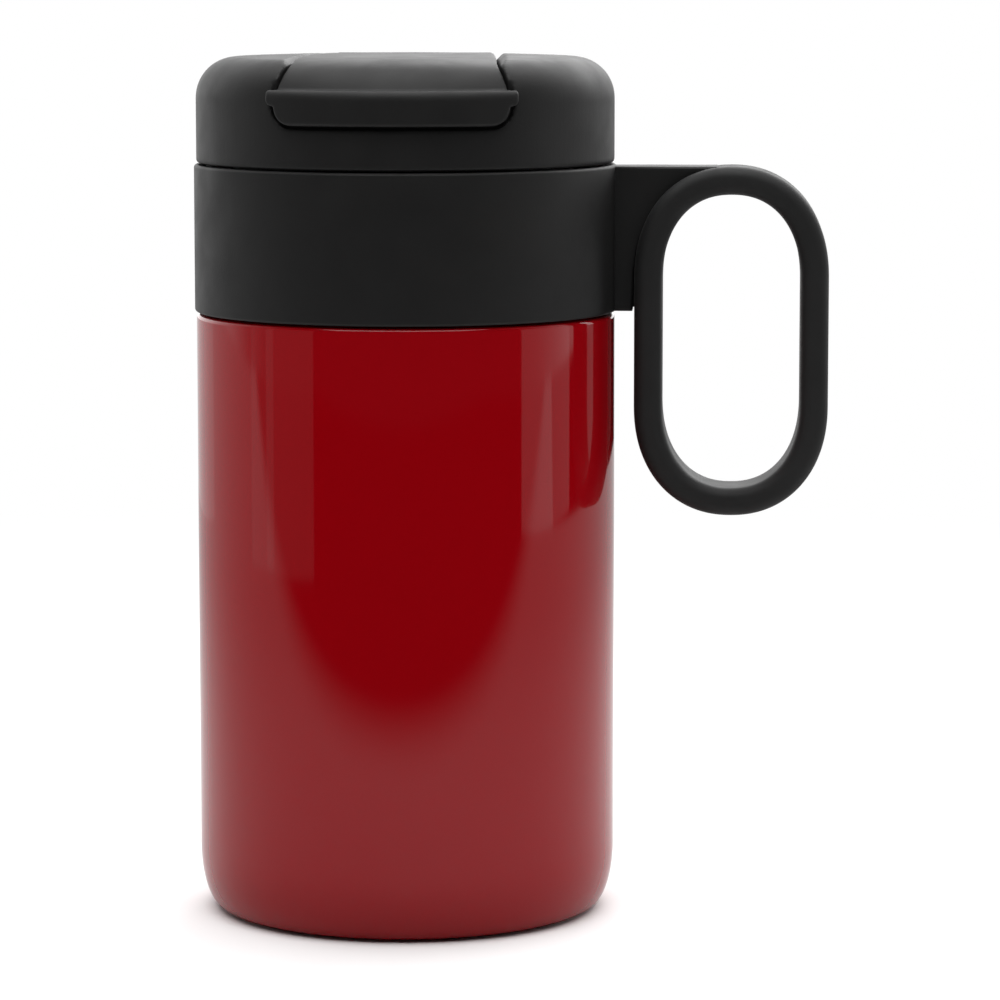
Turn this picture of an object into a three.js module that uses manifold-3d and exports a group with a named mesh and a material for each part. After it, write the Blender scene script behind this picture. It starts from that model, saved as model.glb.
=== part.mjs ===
// Insulated travel mug: a double-walled steel vessel, a handle collar clipped round its neck, and a
// screw-in lid with a flip cap over the drinking hole.
// Millimetres, +Z up. The origin is the centre of the base, the handle points along +X and the
// drinking side faces -Y. A planform is drawn as (x, s), where s runs from the axis towards -Y.
import * as THREE from 'three';
import { mergeVertices } from 'three/addons/utils/BufferGeometryUtils.js';
import Module from 'manifold-3d';

const wasm = await Module();
wasm.setup();

// Driving dimensions
const GAP = 0.3; // between two pieces that touch
const ROUND = 48; // facets of a turned piece
const SMALL_ROUND = 24; // facets of a small one

const BODY_R = 36; // painted steel body
const STEEL = 0.5; // wall of the body and of the cup inside it
const CORNER = { in: 3.8, up: 10.7 }; // the base corner is a quarter ellipse
const BASE_Z = 0.45; // lowest steel, held off the table by the foot pad
const BASE_HOLE_R = 29.6; // opening in the body's underside
const NECK_R = 33.4; // the body steps in to this neck under the collar
const SHOULDER_Z = 103.7;
const NECK_TOP_Z = 121.1;

const CUP_R = 32.4; // outside of the inner cup
const CUP_FLOOR_Z = 6;
const CUP_CORNER = 5.5;
const RIM_Z = 122; // top of the cup's rolled rim

const COLLAR = { r: 36.3, boreR: 34.7, low: SHOULDER_Z + GAP, high: 129.2, edge: 0.5 };
const SCREW = { r: 34.4, skirtR: 33.8, boreR: 30.9, low: 108, ledge: 123.6, high: 129 };
const THREAD = { lead: 9, starts: 2, depth: 1, root: 0.8, tip: 0.4, sink: 0.4 };
const NECK_THREAD = { z: 124.6, from: 3.75, sweep: 120 };
const LID_THREAD = { z: NECK_THREAD.z - 1.35, from: -56.25, sweep: 165 }; // runs just under the neck's

const LID_R = 35.9;
const LID_LOW_Z = COLLAR.high + GAP;
const LID_CROWN = { z: 148.05, fall: 6.5e-4 }; // the top falls by this times the radius squared
const LID_FILLET = 7;
const LID_WALL = 2;
// The flip cap closes this channel, whose upper edges are bevelled above bevelZ.
const CHANNEL = { z: 139.4, floor: 1.6, sideGap: 0.4, rearHalf: 14.8, bevelZ: 146.5, endS: 40 };
const PLUG = { r: 29.6, wall: 1.8, low: 112, flangeR: 33.6, flangeZ: 131.2, high: 133 };

// The flip cap widens evenly towards the front, and flares near the thumb tab up to its full width.
const CAP = { half: 15.3, taper: 0.07, flare: 0.05, flareS: 24, most: 19.4, thick: 2.1, rearS: -23.5 };
const TAB = { half: 19.5, r: 37.4, innerR: 35.3, lipZ: 142.2, low: 136.8, corner: 3, top: 150 };
const BRIM = { half: 20.9, innerR: 36.3, low: 140, high: 142.9, corner: 1 }; // lip across the tab
const POCKET = { r: 34.9, gap: 0.5 }; // recess in the lid's front that the thumb tab sits in
const HINGE = { s: -27.5, z: 143.6, barrelR: 3.7, pinR: 1, reach: 17.8, play: 0.15, block: 4.1 };
const SPOUT = { s: 21, holeR: 5, bossR: 6.6, boreR: 4.6, tubeR: 6.2, bossZ: 140.6 };
const VENT = { s: -6, holeR: 2, boreR: 1.2, tubeR: 2.6 };
const TUBE_TOP_Z = 135.9; // both tubes of the plug end here, under the channel's floor

const LOOP = { x: 56.05, z: 99.1, depth: 13.3, edge: 1.8 };
const LOOP_OUT = { a: 16.6, b: 18.95, n: 2.18, straight: 10.9 };
const LOOP_IN = { a: 11.8, b: 14.9, n: 2.25, straight: 10.2 };
const BRACKET = { thick: 8, low: 104.2, high: 129, fromX: 35.2, groove: 0.4 };
const TONGUE = { thick: 4, low: 105.2, high: 126, fromX: 37, depth: 1.2 };

// Geometry helpers

// Manifold solid of a closed three.js geometry.
function solid(geometry) {
  const bare = geometry.clone();
  bare.deleteAttribute('normal');
  bare.deleteAttribute('uv');
  const merged = mergeVertices(bare, 1e-4);
  return new wasm.Manifold(new wasm.Mesh({
    numProp: 3,
    vertProperties: merged.attributes.position.array,
    triVerts: new Uint32Array(merged.index.array),
  }));
}

// three.js geometry of a manifold solid.
function geometryOf(made) {
  const { numVert, numProp, vertProperties, triVerts } = made.getMesh();
  const position = new Float32Array(numVert * 3);
  for (let i = 0; i < numVert; i++) {
    position.set(vertProperties.subarray(i * numProp, i * numProp + 3), i * 3);
  }
  const geometry = new THREE.BufferGeometry();
  geometry.setAttribute('position', new THREE.BufferAttribute(position, 3));
  geometry.setIndex(new THREE.BufferAttribute(triVerts, 1));
  geometry.computeVertexNormals();
  return geometry;
}

// Points of an arc of a circle or an ellipse, angles in degrees.
function arc(cx, cz, rx, rz, from, to, steps) {
  return Array.from({ length: steps + 1 }, (_, i) => {
    const angle = THREE.MathUtils.degToRad(from + ((to - from) * i) / steps);
    return [cx + rx * Math.cos(angle), cz + rz * Math.sin(angle)];
  });
}

// Solid of revolution about Z of an (r, z) profile that runs upwards on its outer side.
function turned(profile, facets = ROUND) {
  const points = profile.map(([r, z]) => new THREE.Vector2(r, z));
  return solid(new THREE.LatheGeometry(points, facets).rotateX(Math.PI / 2));
}

// A turned ring, whose profile closes on itself.
const ring = (profile, facets) => turned([...profile, profile[0]], facets);

// A plain turned disc.
const disc = (r, low, high, facets) => turned([[0, low], [r, low], [r, high], [0, high]], facets);

// A plain turned sleeve.
const sleeve = (inner, outer, low, high, facets) =>
  ring([[inner, low], [outer, low], [outer, high], [inner, high]], facets);

// Prism of a closed outline, from z = 0 up to the given depth.
function prism(outline, depth, bevel = 0) {
  const shape = new THREE.Shape(outline.map(([x, y]) => new THREE.Vector2(x, y)));
  return new THREE.ExtrudeGeometry(shape, {
    depth: depth - 2 * bevel, bevelEnabled: bevel > 0, bevelThickness: bevel,
    bevelSize: bevel, bevelOffset: -bevel, bevelSegments: 2,
  }).translate(0, 0, bevel);
}

// Prism of an (x, s) planform between two heights.
const upright = (planform, low, high) =>
  solid(prism(planform.map(([x, s]) => [x, -s]), high - low).translate(0, 0, low));

// Prism of an (x, z) outline between two values of s.
const frontal = (outline, from, to) =>
  solid(prism(outline, to - from).rotateX(Math.PI / 2).translate(0, -from, 0));

// Prism of an (s, z) outline, centred on the plane x = 0.
const across = (outline, half) =>
  solid(prism(outline, 2 * half).rotateX(Math.PI / 2).rotateZ(-Math.PI / 2).translate(half, 0, 0));

// Cylinder along the hinge line, for the pin and its holes.
const hingeBar = (r, half) =>
  across(arc(HINGE.s, HINGE.z, r, r, 0, 360 - 360 / SMALL_ROUND, SMALL_ROUND - 1), half);

// Moves a solid of revolution to a place on the mug's plane of symmetry.
const at = (s, made) => made.translate([0, -s, 0]);

// Both starts of a helical thread. Its section grows out of the wall at radius r, inwards or outwards.
function thread({ z, from, sweep }, r, outward) {
  const side = outward ? 1 : -1;
  const section = [
    [r - side * THREAD.sink, -THREAD.root], [r + side * THREAD.depth, -THREAD.tip],
    [r + side * THREAD.depth, THREAD.tip], [r - side * THREAD.sink, THREAD.root],
  ];
  const starts = Array.from({ length: THREAD.starts }, (_, k) => {
    const bar = new THREE.ExtrudeGeometry(
      new THREE.Shape(section.map(([x, y]) => new THREE.Vector2(x, y))),
      { depth: 1, steps: Math.round((sweep * ROUND) / 360), bevelEnabled: false });
    const p = bar.attributes.position;
    for (let i = 0; i < p.count; i++) {
      const turnDeg = from + (1 - p.getZ(i)) * sweep; // wound from the far end, which keeps faces out
      const angle = THREE.MathUtils.degToRad(turnDeg + (360 * k) / THREAD.starts);
      p.setXYZ(i, p.getX(i) * Math.cos(angle), p.getX(i) * Math.sin(angle),
        z + p.getY(i) + (THREAD.lead * turnDeg) / 360);
    }
    return solid(bar);
  });
  return starts[0].add(starts[1]);
}

// Shapes that more than one piece is cut to

const crownZ = (r) => LID_CROWN.z - LID_CROWN.fall * r * r;
const LID_EDGE = { r: LID_R - LID_FILLET, z: crownZ(LID_R - LID_FILLET) - LID_FILLET };
const crownPoints = (radii, drop = 0) => radii.map((r) => [r, crownZ(r) - drop]);

// Half the flip cap's width.
const capHalf = (s) =>
  Math.min(CAP.half + CAP.taper * s + CAP.flare * Math.max(0, s - CAP.flareS) ** 2, CAP.most);

// Planform of a band down the lid's middle, whose half-width is a function of s.
function band(half, fromS, toS) {
  const bends = [-12, CAP.flareS, 26, 28, 29.2, 30.3].filter((s) => s > fromS && s < toS);
  const right = [fromS, ...bends, toS].map((s) => [half(s), s]);
  return [...right, ...right.map(([x, s]) => [-x, s]).reverse()];
}

// Planform of the channel, grown by the given amount. Behind, its sides run parallel.
const channelBand = (grow) => band(
  (s) => Math.max(capHalf(s) + CHANNEL.sideGap, CHANNEL.rearHalf) + grow, -CHANNEL.endS, CHANNEL.endS);

// Front outline of the thumb tab, or of its pocket when it is grown by the pocket's gap.
function tabOutline(grow) {
  const half = TAB.half + grow;
  const low = TAB.low - grow;
  const corner = TAB.corner + grow;
  return [
    [half, TAB.top], [-half, TAB.top],
    ...arc(-half + corner, low + corner, corner, corner, 180, 270, 4),
    ...arc(half - corner, low + corner, corner, corner, 270, 360, 4),
  ];
}

// Front outline of the brim: a rectangle with rounded corners.
function brimOutline() {
  const { half, low, high, corner } = BRIM;
  const [x, base, top] = [half - corner, low + corner, high - corner];
  return [
    ...arc(x, top, corner, corner, 0, 90, 3), ...arc(-x, top, corner, corner, 90, 180, 3),
    ...arc(-x, base, corner, corner, 180, 270, 3), ...arc(x, base, corner, corner, 270, 360, 3),
  ];
}

// Closed outline of one side of the handle loop in (x, z): two superellipse ends and straight sides.
function loopOutline({ a, b, n, straight }, steps) {
  const bend = (value) => Math.sign(value) * Math.abs(value) ** (2 / n);
  return Array.from({ length: 2 * steps + 2 }, (_, i) => {
    const end = i > steps ? -1 : 1;
    const angle = (Math.PI * (i > steps ? i - 1 : i)) / steps;
    return [LOOP.x + a * bend(Math.cos(angle)), LOOP.z + end * straight + b * bend(Math.sin(angle))];
  });
}

// Web between the collar and the loop, up to the loop's outline grown by the given amount.
function webOutline(grow, { fromX, low, high }) {
  const { a, b, n, straight } = LOOP_OUT;
  const edgeX = (z) => {
    const rise = Math.max(z - LOOP.z - straight, 0) / (b + grow);
    return LOOP.x - (a + grow) * (1 - rise ** n) ** (1 / n);
  };
  const bendZ = LOOP.z + straight;
  const heights = [low, bendZ, ...[0.25, 0.45, 0.62, 0.77, 0.9, 1].map((t) => bendZ + t * (high - bendZ))];
  return [[fromX, high], [fromX, low], ...heights.map((z) => [edgeX(z), z])];
}

// A slab of an (x, z) outline, centred on the plane y = 0.
const slab = (outline, thick) => frontal(outline, -thick / 2, thick / 2);

// Vessel

const cornerArc = (inset) => arc(
  BODY_R - CORNER.in, BASE_Z + CORNER.up, CORNER.in - inset, CORNER.up - inset, 270, 360, 5);

function outerShell() {
  return ring([
    [BASE_HOLE_R, BASE_Z], ...cornerArc(0), [BODY_R, SHOULDER_Z - 0.8], [BODY_R - 0.3, SHOULDER_Z - 0.2],
    [BODY_R - 0.8, SHOULDER_Z], [NECK_R, SHOULDER_Z], [NECK_R, NECK_TOP_Z], [NECK_R - STEEL, NECK_TOP_Z],
    [NECK_R - STEEL, SHOULDER_Z - STEEL], [BODY_R - 0.8, SHOULDER_Z - STEEL],
    ...cornerArc(STEEL).reverse(), [BASE_HOLE_R, BASE_Z + STEEL],
  ]);
}

function innerCup() {
  const inR = CUP_R - STEEL;
  const bend = (r) => arc(CUP_R - CUP_CORNER, CUP_FLOOR_Z + CUP_CORNER, r, r, 270, 360, 3);
  return turned([
    [0, CUP_FLOOR_Z], ...bend(CUP_CORNER), [CUP_R, RIM_Z - 0.6], [NECK_R, RIM_Z - 0.6],
    [NECK_R, RIM_Z], [inR, RIM_Z], ...bend(CUP_CORNER - STEEL).reverse(), [0, CUP_FLOOR_Z + STEEL],
  ]);
}

const reflectorFoil = () => sleeve(CUP_R + 0.45, CUP_R + 0.6, 14, 99, 36);

// Dished disc welded into the body's underside, with the hole that the vacuum is drawn through.
function basePlate() {
  const rim = BASE_HOLE_R - GAP;
  return ring([
    [2, 2.4], [rim - 4.2, 2.4], [rim - 2.6, 1.75], [rim, 1.75],
    [rim, 2.35], [rim - 2.4, 2.35], [rim - 4, 3], [2, 3],
  ], 36);
}

const sealPellet = () => disc(1.6, 2.2, 3.2, SMALL_ROUND);
const getter = () => at(11, disc(4, 3.4, 4.6, SMALL_ROUND));

function footPad() {
  const r = BASE_HOLE_R - GAP;
  return turned([[0, 0], [r - 0.5, 0], [r, 0.5], [r, 1.4], [0, 1.4]]);
}

function collar() {
  const { r, boreR, low, high, edge } = COLLAR;
  const band = ring([
    [boreR, low], [r - edge, low], [r, low + edge], [r, high - edge], [r - edge, high], [boreR, high],
  ]);
  return band
    .add(slab(webOutline(BRACKET.groove, BRACKET), BRACKET.thick))
    .add(slab(webOutline(-TONGUE.depth, TONGUE), TONGUE.thick));
}

function handleLoop() {
  const shape = new THREE.Shape(loopOutline(LOOP_OUT, 22).map(([x, z]) => new THREE.Vector2(x, z)));
  shape.holes.push(new THREE.Path(loopOutline(LOOP_IN, 18).map(([x, z]) => new THREE.Vector2(x, z))));
  const band = new THREE.ExtrudeGeometry(shape, {
    depth: LOOP.depth - 2 * LOOP.edge, bevelThickness: LOOP.edge, bevelSize: LOOP.edge,
    bevelOffset: -LOOP.edge, bevelSegments: 3,
  });
  const slot = { fromX: TONGUE.fromX, low: TONGUE.low - GAP, high: TONGUE.high + GAP };
  return solid(band.translate(0, 0, LOOP.edge - LOOP.depth / 2).rotateX(Math.PI / 2))
    .subtract(slab(webOutline(-TONGUE.depth - GAP, slot), TONGUE.thick + 2 * GAP));
}

function neckRing() {
  const { r, skirtR, boreR, low, ledge, high } = SCREW;
  return ring([[skirtR, low], [r, low], [r, high], [boreR, high], [boreR, ledge], [skirtR, ledge]])
    .add(thread(NECK_THREAD, boreR, false));
}

const neckGasket = () => sleeve(32.2, NECK_R, RIM_Z + GAP, SCREW.ledge - GAP, 36);

// Lid

const lidGasket = () => ring([
  [PLUG.r + 0.5, SCREW.high + GAP], [33.3, SCREW.high + GAP], [33.3, PLUG.flangeZ - GAP],
  [PLUG.r + 0.5, PLUG.flangeZ - GAP],
]);

// Blocks beside the channel that hold the ends of the hinge pin.
function hingeBlocks() {
  const [back, front] = [HINGE.s - HINGE.block, HINGE.s + HINGE.block];
  const low = CHANNEL.z - CHANNEL.floor;
  const right = [[14, back], [23, back], [23, front], [14, front]];
  const left = right.map(([x, s]) => [-x, s]);
  return upright(right, low, TAB.top).add(upright(left, low, TAB.top));
}

function lidCap() {
  const { endS, floor, z, bevelZ } = CHANNEL;
  const edgeArc = (r, steps) => arc(LID_EDGE.r, LID_EDGE.z, r, r, 0, 87.8, steps);
  const outside = turned([
    [0, LID_LOW_Z], [LID_R - 0.4, LID_LOW_Z], [LID_R, LID_LOW_Z + 0.4],
    ...edgeArc(LID_FILLET, 6), ...crownPoints([20, 0]),
  ]);
  const hollow = turned([
    [0, LID_LOW_Z - 1], [LID_R - LID_WALL, LID_LOW_Z - 1],
    ...edgeArc(LID_FILLET - LID_WALL, 3), ...crownPoints([0], LID_WALL),
  ]);
  const tub = upright(channelBand(floor), z - floor, TAB.top).add(hingeBlocks());
  const channel = upright(channelBand(0), z, TAB.top);
  const bevel = upright(channelBand(0), bevelZ, TAB.top).warp((point) => {
    point[0] += Math.sign(point[0]) * (point[2] - bevelZ);
  });
  const pocket = frontal(tabOutline(POCKET.gap), 25, endS).subtract(disc(POCKET.r, 130, TAB.top));
  return outside.subtract(hollow.subtract(tub)).subtract(channel).subtract(bevel).subtract(pocket)
    .add(at(SPOUT.s, disc(SPOUT.bossR, z - 0.5, SPOUT.bossZ, SMALL_ROUND)))
    .subtract(at(SPOUT.s, disc(SPOUT.holeR, 130, TAB.top, SMALL_ROUND)))
    .subtract(at(VENT.s, disc(VENT.holeR, 130, TAB.top, SMALL_ROUND)))
    .subtract(hingeBar(HINGE.pinR + HINGE.play, HINGE.reach + GAP));
}

function lidPlug() {
  const { r, wall, low, flangeR, flangeZ, high } = PLUG;
  const inR = r - wall;
  const cup = turned([
    [0, low], [r - 1, low], [r, low + 1], [r, flangeZ], [flangeR, flangeZ], [flangeR, high],
    [inR, high], [inR, low + wall], [0, low + wall],
  ]);
  return cup.add(thread(LID_THREAD, r, true))
    .add(at(SPOUT.s, disc(SPOUT.tubeR, low + wall / 2, TUBE_TOP_Z, SMALL_ROUND)))
    .add(at(VENT.s, disc(VENT.tubeR, low + wall / 2, TUBE_TOP_Z, SMALL_ROUND)))
    .subtract(at(SPOUT.s, disc(SPOUT.boreR, low - 1, TUBE_TOP_Z + 1, SMALL_ROUND)))
    .subtract(at(VENT.s, disc(VENT.boreR, low - 1, TUBE_TOP_Z + 1, SMALL_ROUND)));
}

// Foam that fills the plug round its two tubes.
function lidInsulation() {
  const low = PLUG.low + PLUG.wall + 0.4;
  return disc(PLUG.r - PLUG.wall - 0.4, low, PLUG.high - 1, 36)
    .subtract(at(SPOUT.s, disc(SPOUT.tubeR + 0.4, low - 1, PLUG.high, SMALL_ROUND)))
    .subtract(at(VENT.s, disc(VENT.tubeR + 0.4, low - 1, PLUG.high, SMALL_ROUND)));
}

const tubeGasket = ({ s, boreR, tubeR }) => at(s,
  sleeve(boreR + 0.3, tubeR, TUBE_TOP_Z + GAP, CHANNEL.z - CHANNEL.floor - GAP, SMALL_ROUND));

const hingePin = () => hingeBar(HINGE.pinR, HINGE.reach);

// Flip cap

// Top line of the flip cap just in front of its hinge.
const crownEdge = () => [CAP.rearS, CAP.rearS - 2].map((s) => [s, crownZ(s)]);

function flipCap() {
  const { s, z, barrelR, pinR, play } = HINGE;
  const top = [[36.5, 142.85], [35.3, 142.95], [34.1, 144.3], [32, 146], [29.4, 147.15]];
  const front = turned([
    [0, crownZ(0) - CAP.thick], ...crownPoints([24], CAP.thick), [27.6, 145.15], [31, 143.3], [33.2, 141.7],
    [TAB.innerR, 140.2], [TAB.innerR, TAB.low], [TAB.r - 0.5, TAB.low], [TAB.r - 0.1, TAB.low + 0.4],
    [TAB.r, TAB.lipZ - 0.2], ...top, ...crownPoints([25.5, 15, 0]),
  ]);
  const planform = upright(band(capHalf, CAP.rearS, CHANNEL.endS), BRIM.low, TAB.top)
    .intersect(disc(TAB.innerR + 0.1, 130, TAB.top))
    .add(frontal(tabOutline(0), 25, CHANNEL.endS).subtract(disc(TAB.innerR, 130, TAB.top + 1)))
    .add(frontal(brimOutline(), 25, CHANNEL.endS).subtract(disc(BRIM.innerR, 130, TAB.top + 1)));
  const rear = across([
    [CAP.rearS + 1, crownZ(CAP.rearS + 1)], ...crownEdge(),
    ...arc(s, z, barrelR, barrelR, 96, 290, 14), [CAP.rearS - 0.6, 144.4],
    [CAP.rearS + 1, crownZ(CAP.rearS) - CAP.thick],
  ], 20).intersect(upright(band(capHalf, -CHANNEL.endS, 0), 130, TAB.top));
  return front.intersect(planform).add(rear).subtract(hingeBar(pinR + play, 20));
}

// Silicone plug under the flip cap that closes the drinking hole.
const spoutStopper = () => at(SPOUT.s, turned([
  [0, 138.2], [SPOUT.holeR - 1, 138.2], [SPOUT.holeR - 0.4, 138.9], [SPOUT.holeR - 0.4, 140.2],
  [SPOUT.holeR - 1.2, 141], [SPOUT.holeR - 1.2, 143.8], [SPOUT.holeR + 0.2, 144.1],
  [SPOUT.holeR + 0.2, 144.8], [0, 144.8],
], SMALL_ROUND));

const ventStopper = () => at(VENT.s, turned([
  [0, 138.6], [VENT.holeR - 0.7, 138.6], [VENT.holeR - 0.4, 139.2], [VENT.holeR - 0.4, 144.6],
  [VENT.holeR + 0.6, 145], [VENT.holeR + 0.6, 145.5], [0, 145.5],
], SMALL_ROUND));

// Materials: colour, roughness, metalness
const RED_PAINT = ['#a3101c', 0.25, 0.3];
const STEEL_LOOK = ['#b9bbbd', 0.3, 1];
const COPPER = ['#b9754c', 0.3, 1];
const GLASS_FRIT = ['#5a5f66', 0.4, 0];
const GETTER_LOOK = ['#6e6a66', 0.6, 0.8];
const BLACK_PLASTIC = ['#141415', 0.55, 0];
const SOFT_GRIP = ['#101011', 0.7, 0];
const BLACK_RUBBER = ['#1b1b1c', 0.8, 0];
const CLEAR_SILICONE = ['#cfd2d1', 0.5, 0];
const FOAM = ['#e6e2d4', 0.9, 0];

const PIECES = {
  outer_shell: [outerShell, RED_PAINT],
  inner_cup: [innerCup, STEEL_LOOK],
  reflector_foil: [reflectorFoil, COPPER],
  base_plate: [basePlate, STEEL_LOOK],
  vacuum_seal: [sealPellet, GLASS_FRIT],
  getter: [getter, GETTER_LOOK],
  foot_pad: [footPad, BLACK_RUBBER],
  handle_collar: [collar, BLACK_PLASTIC],
  handle_loop: [handleLoop, SOFT_GRIP],
  neck_ring: [neckRing, BLACK_PLASTIC],
  neck_gasket: [neckGasket, CLEAR_SILICONE],
  lid_gasket: [lidGasket, CLEAR_SILICONE],
  lid_cap: [lidCap, BLACK_PLASTIC],
  lid_plug: [lidPlug, BLACK_PLASTIC],
  lid_insulation: [lidInsulation, FOAM],
  spout_gasket: [() => tubeGasket(SPOUT), CLEAR_SILICONE],
  vent_gasket: [() => tubeGasket(VENT), CLEAR_SILICONE],
  hinge_pin: [hingePin, STEEL_LOOK],
  flip_cap: [flipCap, BLACK_PLASTIC],
  spout_stopper: [spoutStopper, BLACK_RUBBER],
  vent_stopper: [ventStopper, BLACK_RUBBER],
};

const mug = new THREE.Group();
for (const [name, [make, [color, roughness, metalness]]] of Object.entries(PIECES)) {
  const material = new THREE.MeshStandardMaterial({ color, roughness, metalness });
  const piece = new THREE.Mesh(geometryOf(make()), material);
  piece.name = name;
  mug.add(piece);
}

export default mug;
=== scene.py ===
"""Looks of the insulated travel mug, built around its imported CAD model.

Shapes are worked out in millimetres and scaled to metres when their mesh is made. The mug's axis is
Z, the handle points along +X and the drinking side faces -Y. Profiles are (r, z), planforms are
(x, s) with s running from the axis towards -Y, and front outlines are (x, z).
"""

import math

import bmesh
import bpy
from mathutils import Matrix, Vector


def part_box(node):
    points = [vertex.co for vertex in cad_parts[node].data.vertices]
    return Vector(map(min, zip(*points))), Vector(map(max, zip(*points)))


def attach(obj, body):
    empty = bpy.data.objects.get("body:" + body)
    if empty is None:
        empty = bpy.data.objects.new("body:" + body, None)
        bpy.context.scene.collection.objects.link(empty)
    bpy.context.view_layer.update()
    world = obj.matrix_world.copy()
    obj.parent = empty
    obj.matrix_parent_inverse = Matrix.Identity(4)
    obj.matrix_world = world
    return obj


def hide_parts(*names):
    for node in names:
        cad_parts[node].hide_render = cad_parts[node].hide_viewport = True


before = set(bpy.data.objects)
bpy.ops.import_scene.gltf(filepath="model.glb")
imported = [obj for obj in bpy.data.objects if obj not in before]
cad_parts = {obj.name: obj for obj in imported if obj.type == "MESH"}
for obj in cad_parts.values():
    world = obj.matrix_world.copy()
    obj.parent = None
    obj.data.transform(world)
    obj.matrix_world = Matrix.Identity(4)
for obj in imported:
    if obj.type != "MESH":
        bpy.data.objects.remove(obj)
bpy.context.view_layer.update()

MM = 0.001


def cad(node):
    """Lowest and highest corner of a CAD node in millimetres."""
    low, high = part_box(node)
    return [v / MM for v in low], [v / MM for v in high]


# Sizes read from the frame
SHELL_LOW, SHELL_HIGH = cad("outer_shell")
CUP_LOW, CUP_HIGH = cad("inner_cup")
COLLAR_LOW, COLLAR_HIGH = cad("handle_collar")
SCREW_LOW, SCREW_HIGH = cad("neck_ring")
LID_LOW, LID_HIGH = cad("lid_cap")
PLUG_LOW = cad("lid_plug")[0]
SEAL_LOW, SEAL_HIGH = cad("lid_gasket")
FLIP_LOW, FLIP_HIGH = cad("flip_cap")
PAD_HIGH = cad("foot_pad")[1]

BODY_R = SHELL_HIGH[0]
SHELL_Z = SHELL_LOW[2]
NECK_TOP_Z = SHELL_HIGH[2]
COLLAR_R = COLLAR_HIGH[1]
COLLAR_Z = (COLLAR_LOW[2], COLLAR_HIGH[2])
LID_R = LID_HIGH[0]
LID_Z = LID_LOW[2]
BRIM_HALF = FLIP_HIGH[0] - 0.02
TAB_R = -FLIP_LOW[1]
TAB_LOW_Z = FLIP_LOW[2]

# Sizes that the frame's boxes do not give
STEEL = 0.5
CORNER_IN, CORNER_UP = 3.8, 10.7
BASE_HOLE_R = 29.6
NECK_R = 33.4
SHOULDER_Z = 103.7
COLLAR_BORE_R = 34.7
SCREW = {"r": 34.4, "skirt": 33.8, "bore": 30.9, "ledge": 123.6}
THREAD = {"lead": 9.0, "root": 0.8, "sink": 0.4}
NECK_THREAD = {"z": 124.6, "from": 3.75, "sweep": 120.0}
LID_THREAD = {"z": 123.25, "from": -56.25, "sweep": 165.0}
CROWN_Z, CROWN_FALL = 148.05, 6.5e-4
LID_FILLET = 7.0
CHANNEL = {"z": 139.4, "floor": 1.6, "gap": 0.4, "rear_half": 14.8, "bevel_z": 146.5}
PLUG = {"r": 29.6, "wall": 1.8, "flange": 33.6, "flange_z": 131.2, "top": 133.0}
BAND = {"half": 15.3, "taper": 0.07, "flare": 0.05, "flare_s": 24.0, "most": 19.4, "thick": 2.1}
TAB = {"half": 19.5, "inner": 35.3, "lip": 140.75, "corner": 3.0}
BRIM = {"inner": 36.2, "low": 140.0, "high": 142.9, "corner": 1.0}
POCKET = {"r": 34.9, "gap": 0.5}
HINGE = {"s": -27.5, "z": 143.6, "barrel": 3.7, "bore": 1.15, "bore_half": 18.1}
SPOUT = {"s": 21.0, "hole": 5.0, "boss": 6.6, "boss_z": 140.6, "bore": 4.6, "tube": 6.2}
VENT = {"s": -6.0, "hole": 2.0, "bore": 1.2, "tube": 2.6}
TUBE_TOP_Z = 135.9
LOOP = {"x": 56.05, "z": 99.1, "depth": 13.3, "edge": 1.9}
LOOP_OUT = {"a": 16.6, "b": 18.95, "n": 2.18, "straight": 10.9}
LOOP_IN = {"a": 11.8, "b": 14.9, "n": 2.25, "straight": 10.2}
WEB = {"thick": 8.0, "low": 104.2, "high": 128.95, "from": 35.2, "groove": 0.35, "sink": 0.9, "edge": 0.6}
TONGUE = {"thick": 6.6, "low": 104.9, "high": 127.2, "from": 37.0, "groove": -0.6, "sink": 1.2, "edge": 0.2}

BELOW, ABOVE = 120.0, 155.0  # heights just past the lid, for cutting shapes
FRONT = (25.0, 42.0)  # stretch of s that holds the thumb tab and its pocket

ROUND = 256  # facets of a turned piece
CUT_ROUND = 180  # facets of one that is cut and remeshed
SMALL_ROUND = 64  # facets of the holes and tubes


# Profiles and outlines


def crown(r):
    """Height of the lid's domed top."""
    return CROWN_Z - CROWN_FALL * r * r


def arc(cx, cz, rx, rz, start, stop, steps):
    """Points of an arc of a circle or an ellipse, angles in degrees."""
    turns = [math.radians(start + (stop - start) * i / steps) for i in range(steps + 1)]
    return [(cx + rx * math.cos(t), cz + rz * math.sin(t)) for t in turns]


def bezier(start, first, second, end, steps):
    """Points of a cubic curve."""
    made = []
    for i in range(steps + 1):
        t = i / steps
        weights = ((1 - t) ** 3, 3 * t * (1 - t) ** 2, 3 * t * t * (1 - t), t ** 3)
        made.append(tuple(sum(w * p[k] for w, p in zip(weights, (start, first, second, end)))
                          for k in (0, 1)))
    return made


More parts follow.
